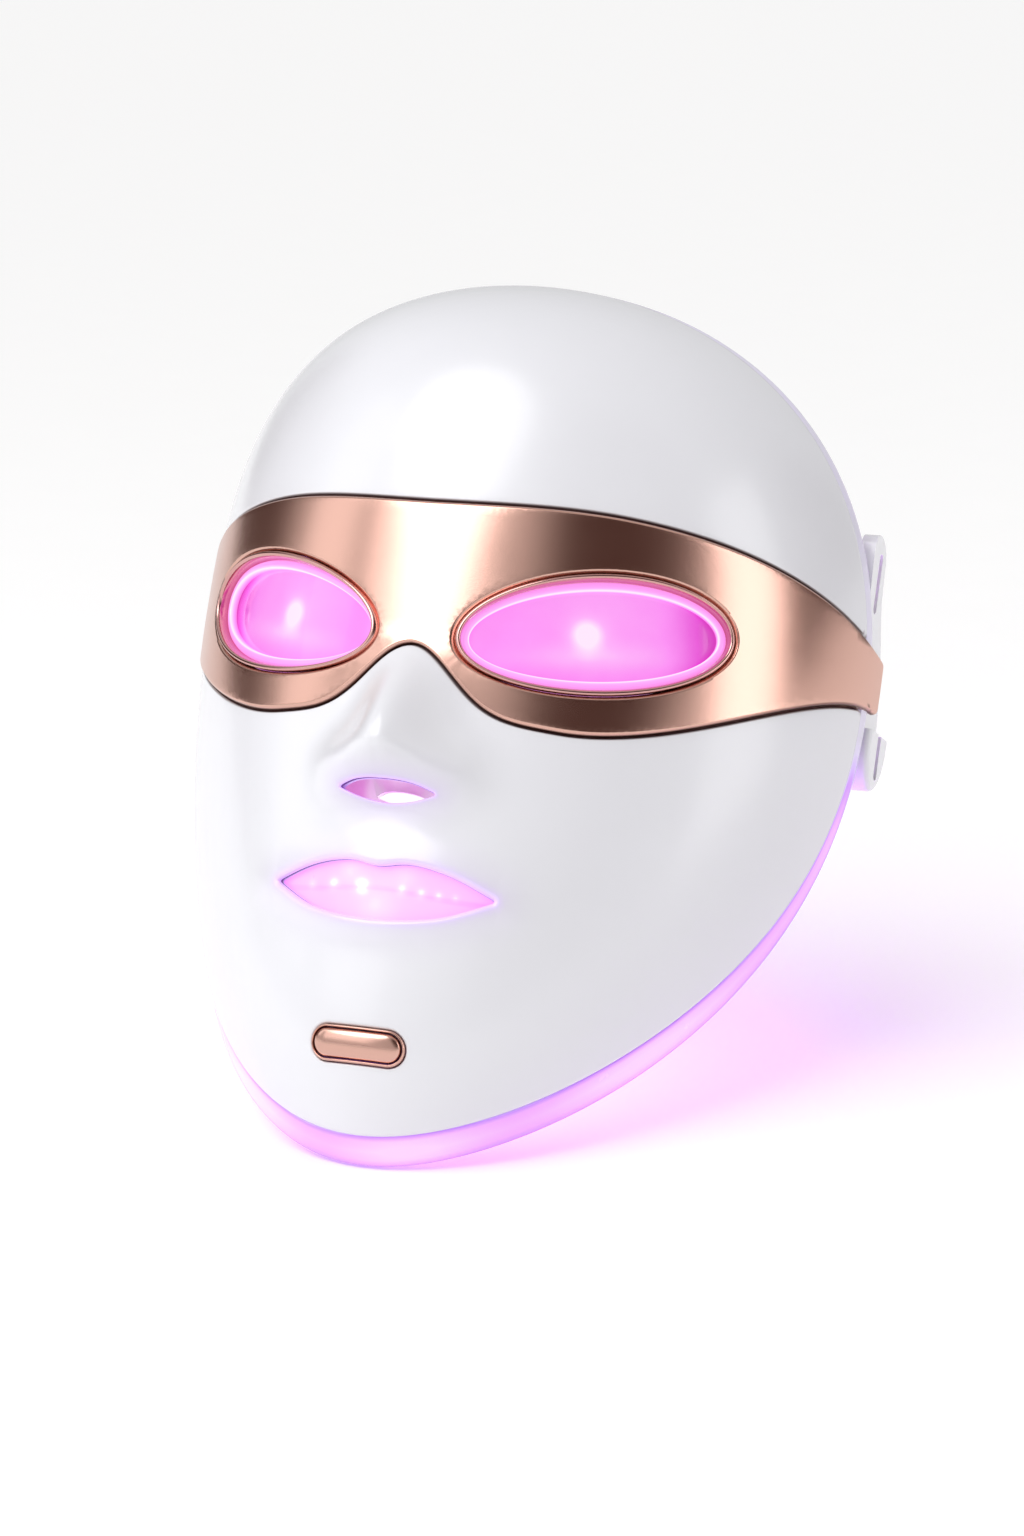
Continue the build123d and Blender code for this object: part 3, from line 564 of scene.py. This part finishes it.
def glow_material(name, stops, strength, rough=0.3, base=(0.9, 0.5, 0.7), unlit=None):
    """A lit translucent plastic: the vertex value "glow" picks its light from the stops."""
    mat = bpy.data.materials.new(name)
    mat.use_nodes = True
    nodes, links = mat.node_tree.nodes, mat.node_tree.links
    shader = nodes["Principled BSDF"]
    value = nodes.new("ShaderNodeAttribute")
    value.attribute_name = "glow"
    coords = nodes.new("ShaderNodeTexCoord")
    cloud = nodes.new("ShaderNodeTexNoise")
    cloud.inputs["Scale"].default_value = 220.0
    cloud.inputs["Detail"].default_value = 4.0
    links.new(coords.outputs["Object"], cloud.inputs["Vector"])
    mix = nodes.new("ShaderNodeMath")
    mix.operation = "MULTIPLY_ADD"
    mix.inputs[1].default_value = 0.06
    links.new(cloud.outputs["Fac"], mix.inputs[0])
    links.new(value.outputs["Fac"], mix.inputs[2])
    ramp = nodes.new("ShaderNodeValToRGB")
    elements = ramp.color_ramp.elements
    elements[0].position, elements[0].color = stops[0][0], (*stops[0][1], 1)
    elements[1].position, elements[1].color = stops[-1][0], (*stops[-1][1], 1)
    for position, color in stops[1:-1]:
        elements.new(position).color = (*color, 1)
    links.new(mix.outputs["Value"], ramp.inputs["Fac"])
    links.new(ramp.outputs["Color"], shader.inputs["Emission Color"])
    shader.inputs["Emission Strength"].default_value = strength
    # Where unlit is given, the base colour turns from unlit to base as the glow rises: base there is a
    # painted tint of the part's own light.
    body = nodes.new("ShaderNodeValToRGB")
    body.color_ramp.elements[0].position, body.color_ramp.elements[1].position = 0.08, 0.28
    body.color_ramp.elements[0].color, body.color_ramp.elements[1].color = (*(unlit or base), 1), (*base, 1)
    links.new(mix.outputs["Value"], body.inputs["Fac"])
    links.new(body.outputs["Color"], shader.inputs["Base Color"])
    span = nodes.new("ShaderNodeMapRange")
    span.inputs["To Min"].default_value, span.inputs["To Max"].default_value = rough - 0.05, rough + 0.05
    links.new(cloud.outputs["Fac"], span.inputs["Value"])
    links.new(span.outputs["Result"], shader.inputs["Roughness"])
    shader.inputs["Coat Weight"].default_value = 0.4
    return mat


def set_glow(obj, values, name="glow"):
    """Stores one value per vertex, for a material to read."""
    layer = obj.data.attributes.new(name, "FLOAT", "POINT")
    layer.data.foreach_set("value", np.asarray(values, dtype=np.float32))


# The white shell's tints are painted light and shade: painted shade in the band seam, a lilac painted light
# spill round the mouth and nostril, and a violet painted glow at their edges.
WHITE = material("white_shell", (0.78, 0.78, 0.82), 0.2, vary=0.01, Coat_Weight=0.6, Coat_Roughness=0.26,
                 tints={"painted_seam_shade": (0.10, 0.05, 0.05), "painted_light_spill": (0.68, 0.50, 0.94)}, lit="lit",
                 Emission_Color=(0.55, 0.20, 1.0, 1), grain=(900, 0.05, (1, 1, 1)))
# The rose gold's dark seam tint is painted shade along the band's edge.
GOLD = material("rose_gold", (0.70, 0.42, 0.345), 0.22, 1.0, vary=0.02, tints={"painted_seam_shade": (0.10, 0.03, 0.02)},
                grain=(700, 0.04, (1, 14, 14)))
BEZEL = material("bezel_rose", (0.64, 0.36, 0.33), 0.16, 1.0, vary=0.05)
GUIDE = glow_material("guide_glow", [(0, (0.7, 0.04, 0.25)), (0.5, (0.98, 0.33, 0.96)),
                                     (0.8, (1.0, 0.55, 1.0)), (1, (1.0, 0.9, 1.0))], 0.85, 0.2,
                      (0.3, 0.08, 0.2))
LENS = glow_material("lens_glow", [(0, (0.22, 0.002, 0.05)), (0.3, (0.72, 0.04, 0.62)),
                                   (0.6, (0.95, 0.30, 0.92)), (0.8, (0.98, 0.50, 0.98)),
                                   (1, (1.0, 0.92, 1.0))], 0.85, 0.16, (0.2, 0.04, 0.16))
MOUTH = glow_material("mouth_glow", [(0, (0.45, 0.06, 0.4)), (0.45, (0.82, 0.26, 0.8)),
                                     (0.8, (0.95, 0.5, 0.95)), (1, (1.0, 0.94, 1.0))], 0.75, 0.3,
                      (0.6, 0.3, 0.6))
# The rim's purple base colour where it glows is painted light; its unlit colour is the pale plastic's own.
RIM = glow_material("rim_glow", [(0, (0.0, 0.0, 0.0)), (0.25, (0.36, 0.06, 0.95)), (0.6, (0.90, 0.34, 0.95)),
                                 (1, (1.0, 0.74, 1.0))], 0.55, 0.25, (0.42, 0.24, 0.52), (0.74, 0.73, 0.80))
LINER = glow_material("liner_glow", [(0, (0.7, 0.16, 0.6)), (0.5, (0.9, 0.35, 0.8)), (1, (1.0, 0.9, 1.0))],
                      0.4, 0.35, (0.9, 0.74, 0.86))
STEEL = material("steel", (0.62, 0.62, 0.64), 0.3, 1.0, grain=(600, 0.1, (1, 10, 1)))
BOARD = material("circuit_board", (0.85, 0.84, 0.82), 0.5, grain=(400, 0.1, (1, 1, 1)))
LED = material("led_package", (0.95, 0.85, 0.62), 0.35, grain=(300, 0.1, (1, 1, 1)))
FOIL = material("cell_foil", (0.7, 0.71, 0.73), 0.35, 1.0, grain=(90, 0.3, (1, 1, 1)))
BLACK = material("black_plastic", (0.02, 0.02, 0.022), 0.5, grain=(500, 0.15, (1, 1, 1)))

SLOTS = {"white_shell": WHITE, "rose_gold": GOLD, "bezel_rose": BEZEL, "steel": STEEL, "circuit_board": BOARD,
         "led_package": LED, "cell_foil": FOIL, "black_plastic": BLACK, "light_guide": RIM, "pink_lens": LENS,
         "liner_clear": LINER}
for part in frame["record"]["subparts"]:
    node = frame["nodes"][part["node"]]
    node.data.materials.clear()
    node.data.materials.append(SLOTS[part["material_slot"]])


for name in ("strap_arm_left", "strap_arm_right"):
    soften = frame["nodes"][name].modifiers.new("soften", "BEVEL")
    soften.width, soften.segments, soften.limit_method = 0.5 * MM, 3, "ANGLE"
    soften.angle_limit = math.radians(40)


# ---------------------------------------------------------------- outer shell
def roll(d, r):
    """How far an edge rounded by radius r falls at a distance d from it."""
    short = np.clip(r - d, 0.0, r)
    return r - np.sqrt(r * r - short * short)


band_outline = band_line()
band_true = even(band_outline, 5000)
band_tree = loop_tree([band_true])


def reach_of(tree, u, z):
    """Distance from points of the form to the nearest point of a tree."""
    return np.array([tree.find(Vector(p))[2] for p in form(u, z, 0.0, True)])


def band_gap(u, z):
    """Signed distance outside the visor band's outline."""
    gap = reach_of(band_tree, u, z)
    within = inside(np.stack([u, z], axis=1), band_outline)
    return np.where(within, -gap, gap)


def shell_depth(d, u, z):
    groove = np.interp(band_gap(u, z), [0.05, 0.3, 0.5, 0.75], [1.0, 0.6, 0.1, 0.0])
    soft = np.where((np.abs(u) < 34) & (np.abs(z - 71) < 12), 1.3, 0.6)
    return groove + roll(d, soft)


rim_flat = counter(to_flat(rim_points(rim_width, 0.0, 460)))
eye_flat = [counter(to_flat(eye_loop(-0.2, 0.8, side, 200))) for side in (1, -1)]
mouth_flat = counter(eased(even(xz_flat(mouth_line()), 240), 9))
nostril_flat = counter(eased(even(xz_flat(nostril_line()), 120), 12))
button_flat = counter(xz_flat(button_line(0.95)))
groove_paths = [band_line(g) for g in (0.05, 0.3, 0.5, 0.75)]

shell, shell_verts, shell_tris, shell_normals, shell_count = panel_piece(
    "shell_white", ["outer_shell"], rim_flat, [*eye_flat, mouth_flat, nostril_flat, button_flat],
    (0.12, 0.3, 0.6, 1.0, 1.4), shell_depth, 2.2, WHITE, fine=((32, 58, 131), 0.8),
    extra_loops=groove_paths, spacing=1.6)


def polish(obj, verts, tris, normals, count, exact):
    """Custom normals: the form's own where exact is true, and face-weighted ones elsewhere on the front."""
    rough = surface_normals(verts, tris, count)
    exact = exact[:, None]
    split_set(obj, stand_dir(np.where(exact, normals, rough)), count)


shell_flat = to_flat(np.array(shell_verts[:shell_count]))
shell_far = ~near(shell_flat, [rim_flat, *eye_flat, button_flat, *groove_paths], 0.95)
shell_far &= ~near(shell_flat, [mouth_flat, nostril_flat], 1.6)
polish(shell, shell_verts, shell_tris, shell_normals, shell_count, shell_far)


def on_front(total, values):
    """Vertex values for a piece whose back has none."""
    return np.concatenate([values, np.zeros(total - len(values))])


# Painted shade: the white shell darkens along the groove beside the visor band's edge.
gap = band_gap(shell_flat[:, 0], shell_flat[:, 1])
set_glow(shell, on_front(len(shell_verts), np.interp(gap, [0.3, 0.62], [1.0, 0.0])), "painted_seam_shade")
both_sides = to_flat(np.array(shell_verts))
from_mouth = reach_of(loop_tree([mouth_flat]), both_sides[:, 0], both_sides[:, 1])
from_nostril = reach_of(loop_tree([nostril_flat]), both_sides[:, 0], both_sides[:, 1])
# Painted light: the shell's colour turns lilac round the mouth and nostril, for the glow from those openings
# falling on it.
painted_light_spill = 0.5 * np.exp(-((from_mouth / 1.6) ** 2)) + 0.16 * np.exp(-((from_mouth / 6.0) ** 2))
painted_light_spill += 0.35 * np.exp(-((from_nostril / 1.0) ** 2)) + 0.25 * np.exp(-((from_nostril / 4.5) ** 2))
set_glow(shell, np.clip(painted_light_spill, 0, 0.7), "painted_light_spill")
# Painted light: the white shell itself glows violet along the edges of the mouth and nostril.
lit = 0.34 * np.exp(-((from_mouth / 1.0) ** 2)) + 0.42 * np.exp(-((from_nostril / 0.5) ** 2))
set_glow(shell, lit, "lit")


# ---------------------------------------------------------------- visor band
def band_depth(d, u, z):
    return np.interp(d, [0.0, 0.12, 0.38, 0.7, 1.0], [0.6, 0.1, -0.43, -0.72, -0.8])


band_eyes = [counter(to_flat(eye_loop(0.0, -0.3, side, 220))) for side in (1, -1)]
band, band_verts, band_tris, band_normals, band_count = panel_piece(
    "visor_metal", ["visor_band"], band_outline, band_eyes, (0.12, 0.38, 0.7, 1.0), band_depth, 0.7, GOLD,
    spacing=1.7)
band_flat = to_flat(np.array(band_verts[:band_count]))
band_far = ~near(band_flat, [band_outline, *band_eyes], 1.2)
polish(band, band_verts, band_tris, band_normals, band_count, band_far)
# Painted shade: the rose gold darkens along the band's outer edge, where it meets the shell.
rim_of_band = reach_of(band_tree, band_flat[:, 0], band_flat[:, 1])
set_glow(band, on_front(len(band_verts), np.interp(rim_of_band, [0.1, 0.4], [0.9, 0.0])), "painted_seam_shade")

# ---------------------------------------------------------------- eyes
for side, word in ((1, "left"), (-1, "right")):
    bezel = [(0.1, 5.4), (0.1, 0.4), (0.1, -0.6), (0.2, -0.9), (0.45, -1.08), (0.75, -1.08), (1.05, -0.85),
             (1.3, -0.3), (1.4, 0.8), (1.4, 3.0), (1.4, 5.4)]
    bezel_loops = [eye_loop(a, b, side) for a, b in bezel]
    sweep(f"eye_surround_{word}", bezel_loops, BEZEL, [f"eye_bezel_{word}"])
    guide = [(1.5, 3.4), (1.5, 2.0), (1.75, 1.65), (2.2, 1.5), (2.9, 1.5), (3.3, 1.7), (3.45, 2.1),
             (3.45, 3.4)]
    ring = sweep(f"eye_light_{word}", [eye_loop(a, b, side) for a, b in guide], GUIDE, [f"eye_guide_{word}"])
    glow = np.repeat([0.1, 0.3, 0.45, 0.5, 0.62, 1.0, 0.9, 0.3], 200)
    set_glow(ring, glow)
    scales = [1.0, *np.linspace(0.96, 0.04, 24), 0.01]
    front = [eye_loop(1.5, 3.5 + 0.15 * s * s, side, scale=s) for s in scales[::-1]]
    back = [eye_loop(1.5, 5.0, side, scale=s) for s in (1.0, 0.5, 0.01)]
    lens = sweep(f"eye_pane_{word}", [*front, *back], LENS, [f"eye_lens_{word}"], closed=False)
    t = np.linspace(0, 2 * math.pi, 200, endpoint=False)
    if side < 0:
        t = t[::-1]
    values = []
    for s in [*scales[::-1], 1.0, 0.5, 0.01]:
        x, y = s * np.cos(t), s * np.sin(t)
        wash = 0.55 + 0.12 * np.exp(-((x / 0.5) ** 2))
        wash = wash - 0.40 * smooth((x - 0.45) / 0.5) - 0.10 * smooth((-y - 0.3) / 0.6)
        hot = 0.5 * np.exp(-(((x + 0.08) / 0.11) ** 2 + ((y - 0.05) / 0.26) ** 2))
        veil = 0.14 * np.exp(-(((x + 0.05) / 0.5) ** 2 + ((y + 0.35) / 0.22) ** 2))
        values.append(wash + hot + veil)
    set_glow(lens, np.concatenate(values))

# ---------------------------------------------------------------- mouth window
window_flat = counter(even(xz_flat(mouth_line(-1.6)), 200))


def window_depth(d, u, z):
    return 2.5 + 0 * d


pane, pane_verts, *_ = panel_piece(
    "mouth_pane", ["mouth_window"], window_flat, [], (0.3, 0.8), window_depth, 3.7, MOUTH, spacing=0.55)
p = np.array(pane_verts)
spots = 0.50 + 0.10 * smooth((p[:, 0] + 22) / 16)
# Each light is (x, z, size, strength): first those along the parting, then the soft ones above and below
MOUTH_LIGHTS = ((-16, 71.0, 1.0, 0.3), (-10.5, 71.4, 1.3, 0.45), (-3.6, 71.3, 1.7, 0.6),
                (5.4, 71.2, 1.0, 0.4), (9.6, 71.0, 1.0, 0.45), (13.2, 71.0, 0.8, 0.4), (16.6, 71.0, 0.7, 0.3),
                (-7, 74.0, 2.4, 0.2), (6, 73.6, 2.2, 0.18), (0, 67.6, 3.4, 0.22))
for x0, z0, size, power in MOUTH_LIGHTS:
    spots = spots + power * np.exp(-(((p[:, 0] - x0) ** 2 + (p[:, 2] - z0) ** 2) / size**2))
parting = 70.6 + 0.5 * np.cos(p[:, 0] / 5.5)
spots = spots - 0.2 * np.exp(-(((p[:, 2] - parting) / 0.5) ** 2))
set_glow(pane, spots)

# ---------------------------------------------------------------- glowing rim and liner
# Each row is (share of the rim's width forward, mm forward, inset, glow)
rim_profile = [(1.0, 0.0, 0.3, 0.22), (0.93, 0.0, 0.3, 0.35), (0.82, 0.0, 0.3, 0.8), (0.5, 0.0, 0.3, 1.0),
               (0.2, 0.4, 0.3, 0.85), (0.0, 0.95, 0.3, 0.5), (0.0, 0.4, 0.42, 0.25), (0.0, 0.1, 0.8, 0.22),
               (0.0, 0.0, 1.4, 0.4), (0.0, 0.0, 3.4, 0.6), (0.0, 0.0, 5.8, 0.6), (0.0, 0.0, 8.2, 0.5),
               (0.0, 0.12, 8.9, 0.35), (0.0, 0.5, 9.25, 0.3), (0.0, 0.95, 9.3, 0.4), (1.0, 0.0, 9.3, 0.3)]
rim_loops = [rim_points(lambda z, a=a, b=b: (rim_width(z) - JOINT_GAP) * a + b, i, 460)
             for a, b, i, _ in rim_profile]
rim = sweep("light_rim", rim_loops, RIM, ["glow_rim"])
values = []
for loop, (_, _, _, level) in zip(rim_loops, rim_profile):
    ripple = 0.86 + 0.2 * np.sin(loop[:, 0] / 6.5)
    values.append(level * smooth((128 - loop[:, 2]) / 30) * ripple)
set_glow(rim, np.concatenate(values))


def liner_depth(d, u, z):
    return 11.0 - roll(d, 0.5)


def own_flat(points, inset):
    """Points of the form at an inset as (u, z)."""
    half, _ = section(points[:, 2], inset)
    return np.stack([ROUND * np.arcsin(np.clip(points[:, 0] / half, -1, 1)), points[:, 2]], axis=1)


liner_flat = counter(own_flat(rim_points(lambda z: 0.2 + 0 * z, 11.0, 420), 11.0))
liner_eyes = [counter(own_flat(eye_loop(0.0, 10.5, side, 160), 10.5)) for side in (1, -1)]
line = (nostril_line() - np.array([0, NOSTRIL_Z])) * LINER_SLOT + np.array([0, NOSTRIL_Z])
half_there, _ = section(line[:, 1], 10.3)
liner_nostril = counter(even(np.stack([ROUND * np.arcsin(line[:, 0] / half_there), line[:, 1]], axis=1), 90))
liner, liner_verts, *_ = panel_piece(
    "inner_liner", ["liner"], liner_flat, [*liner_eyes, liner_nostril], (0.2, 0.5, 1.0), liner_depth, 9.6,
    LINER, fine=((24, 78, 126), 0.9), spacing=1.8)
liner.data.flip_normals()
p = np.array(liner_verts)
spots = 0.22 + 0 * p[:, 0]
BOARDS = ((-40, 40, 161, 204), (17, 56, 76, 107), (-56, -17, 76, 107), (-38, 38, 36, 57))
for first, last, low, high in BOARDS:
    columns = max(2, round(math.radians(last - first) * 80 / 12.5))
    rows = max(2, round((high - low) / 12.5))
    for c in range(columns):
        for r in range(rows):
            a = math.radians(first + (last - first) * (c + 0.5) / columns) * ROUND
            z0 = low + (high - low) * (r + 0.5) / rows
            here = form(np.array(a), np.array(z0), 10.3, False)
            spots = spots + 0.85 * np.exp(-(((p - here) ** 2).sum(axis=1) / 3.2**2))
# Painted light: two bright pools on the liner behind the nostril slot, away from the LED board spots.
for x0, size, power in ((-6.5, 3.2, 0.9), (7.5, 3.6, 0.9)):
    spots = spots + power * np.exp(-(((p[:, 0] - x0) / size) ** 2 + ((p[:, 2] - NOSTRIL_Z) / 5.0) ** 2))
set_glow(liner, np.clip(spots, 0, 1))

# ---------------------------------------------------------------- power button
def button_loop(grow, inset, count=120):
    """The button's outline made larger by grow, laid on the form at an inset."""
    line = button_line(grow, count)
    u = ROUND * np.arcsin(line[:, 0] / section(line[:, 1], 0.0)[0])
    return form(u, line[:, 1], inset, True)


ring = [(0.84, 1.6), (0.84, 0.5), (0.81, 0.05), (0.73, -0.25), (0.6, -0.45), (0.46, -0.52), (0.35, -0.46),
        (0.28, -0.25), (0.26, 0.1), (0.26, 1.6)]
sweep("button_surround", [button_loop(a, b) for a, b in ring], GOLD, ["button_ring"])
cap = [(-2.9, 2.6), (-1.0, 2.6), (0.0, 2.6), (0.0, 0.2), (-0.04, -0.15), (-0.16, -0.42), (-0.42, -0.66),
       (-0.85, -0.84), (-1.4, -0.96), (-2.0, -1.05), (-2.5, -1.09), (-2.9, -1.1)]
cap_loops = [button_loop(a, b) for a, b in cap]
sweep("button_cap", cap_loops, GOLD, ["power_button"], "button", closed=False)

# ---------------------------------------------------------------- stage, camera and light
def plane(name, size, location, mat):
    mesh = bpy.data.meshes.new(name)
    h = size / 2
    mesh.from_pydata([(-h, -h, 0), (h, -h, 0), (h, h, 0), (-h, h, 0)], [], [(0, 1, 2, 3)])
    obj = bpy.data.objects.new(name, mesh)
    bpy.context.scene.collection.objects.link(obj)
    obj.location = location
    mesh.materials.append(mat)
    return obj


FLOOR = material("floor_white", (0.9, 0.9, 0.9), 0.3, vary=0.004, grain=(60, 0.03, (1, 1, 1)),
                 Specular_IOR_Level=0.0, Emission_Color=(1, 1, 1, 1), Emission_Strength=0.15)
plane("floor", 60.0, (0, 0, -0.0004), FLOOR)

CAMERA_TURN, CAMERA_RISE = math.radians(20.64), math.radians(13.42)
across = math.cos(CAMERA_RISE)
back = Vector((math.sin(CAMERA_TURN) * across, -math.cos(CAMERA_TURN) * across, math.sin(CAMERA_RISE)))
camera = bpy.data.objects.new("camera", bpy.data.cameras.new("camera"))
bpy.context.scene.collection.objects.link(camera)
camera.location = (0.2967, -0.7588, 0.2671)
camera.rotation_mode = "QUATERNION"
camera.rotation_quaternion = back.to_track_quat("Z", "Y")
camera.data.lens, camera.data.sensor_width = 88.36, 36.0
camera.data.clip_start = 0.01
bpy.context.scene.camera = camera


def area(name, place, aim, size, power):
    light = bpy.data.lights.new(name, "AREA")
    light.shape, light.size, light.size_y = "RECTANGLE", size[0], size[1]
    light.energy = power
    obj = bpy.data.objects.new(name, light)
    bpy.context.scene.collection.objects.link(obj)
    obj.location = place
    obj.rotation_mode = "QUATERNION"
    obj.rotation_quaternion = (Vector(place) - Vector(aim)).to_track_quat("Z", "Y")
    return obj


middle = (0, 0, 0.09)


def softbox(name, direction, distance, size, power):
    """A softbox in a direction from the mask, in metres."""
    d = Vector(direction).normalized() * distance
    return area(name, tuple(Vector(middle) + d), middle, size, power)


softbox("box_front", (-0.40, -0.72, 0.57), 1.1, (0.75, 1.1), 2.2)
softbox("box_left", (-0.84, -0.30, 0.45), 1.0, (0.34, 0.7), 0.6)
softbox("box_right", (0.97, 0.12, 0.12), 1.0, (0.36, 0.8), 1.7)
key = bpy.data.lights.new("key", "SUN")
key.energy, key.angle = 1.3, math.radians(46)
key_at = bpy.data.objects.new("key", key)
bpy.context.scene.collection.objects.link(key_at)
key_at.rotation_mode = "QUATERNION"
key_at.rotation_quaternion = Vector((-0.26, -0.52, 0.81)).to_track_quat("Z", "Y")
glow = bpy.data.lights.new("cavity_glow", "POINT")
glow.energy, glow.color, glow.shadow_soft_size = 0.17, (0.58, 0.14, 1.0), 0.02
glow_at = bpy.data.objects.new("cavity_glow", glow)
bpy.context.scene.collection.objects.link(glow_at)
glow_at.location = (0.0, 0.012, 0.04)

world = bpy.data.worlds.new("studio")
bpy.context.scene.world = world
world.use_nodes = True
sky_nodes, sky_links = world.node_tree.nodes, world.node_tree.links
studio = sky_nodes["Background"]
studio.inputs["Strength"].default_value = 0.60
sky_coords = sky_nodes.new("ShaderNodeTexCoord")
# Dark flags in the white studio, as (direction, inner and outer radius in degrees, what is left of the white)
FLAGS = (((0.69, -0.50, 0.52), 14, 34, 0.02), ((-0.92, 0.36, 0.12), 10, 30, 0.04),
         ((0.81, 0.57, 0.10), 8, 24, 0.05))
shade = None
for direction, core, reach, left in FLAGS:
    dot = sky_nodes.new("ShaderNodeVectorMath")
    dot.operation = "DOT_PRODUCT"
    dot.inputs[1].default_value = Vector(direction).normalized()
    sky_links.new(sky_coords.outputs["Generated"], dot.inputs[0])
    fade = sky_nodes.new("ShaderNodeMapRange")
    fade.interpolation_type = "SMOOTHSTEP"
    fade.inputs["From Min"].default_value = math.cos(math.radians(reach))
    fade.inputs["From Max"].default_value = math.cos(math.radians(core))
    fade.inputs["To Min"].default_value, fade.inputs["To Max"].default_value = 1.0, left
    sky_links.new(dot.outputs["Value"], fade.inputs["Value"])
    if shade is None:
        shade = fade.outputs["Result"]
    else:
        both = sky_nodes.new("ShaderNodeMath")
        both.operation = "MULTIPLY"
        sky_links.new(shade, both.inputs[0])
        sky_links.new(fade.outputs["Result"], both.inputs[1])
        shade = both.outputs["Value"]
flagged = sky_nodes.new("ShaderNodeMix")
flagged.data_type = "RGBA"
flagged.inputs["A"].default_value = (0.10, 0.045, 0.035, 1)
flagged.inputs["B"].default_value = (1.0, 1.0, 1.0, 1)
sky_links.new(shade, flagged.inputs["Factor"])
sky_links.new(flagged.outputs["Result"], studio.inputs["Color"])
bpy.context.scene.view_settings.view_transform = "Standard"
